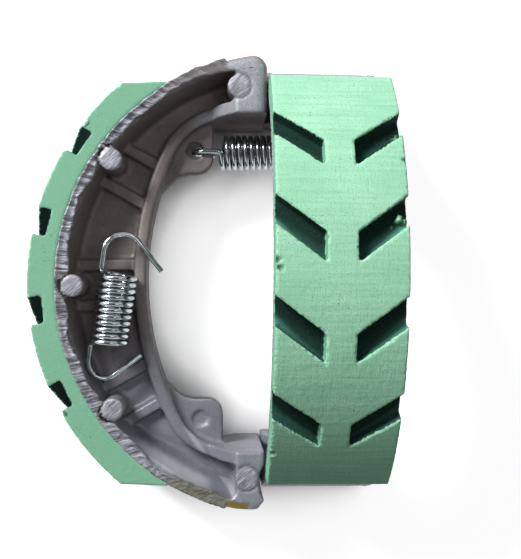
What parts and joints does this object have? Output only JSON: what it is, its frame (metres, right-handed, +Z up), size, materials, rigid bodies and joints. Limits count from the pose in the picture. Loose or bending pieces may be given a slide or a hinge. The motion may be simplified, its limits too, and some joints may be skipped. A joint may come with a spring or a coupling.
{
  "type": "drum brake shoe set",
  "caption": "Curved cast shoes with thick grooved friction linings, linked at one end by a hooked coil spring; a loose return spring lies in the channel of the flat shoe.",
  "frame": {"origin": "middle of the whole set's box, on the floor that both shoes stand on", "axes": "+Z up and along the flat shoe's drum axis, +Y from the pivot ends to the cam ends, +X from the flat shoe to the standing one"},
  "size_m": [0.0756, 0.0972, 0.05],
  "materials": {
    "casting": "satin",
    "lining": "matte",
    "spring": "satin"
  },
  "bodies": {
    "root": {"shoe_flat": "casting", "lining_flat": "lining", "shoe_upright": "casting", "lining_upright": "lining", "return_spring_hooked": "spring", "return_spring_loose": "spring"}
  },
  "joints": []
}
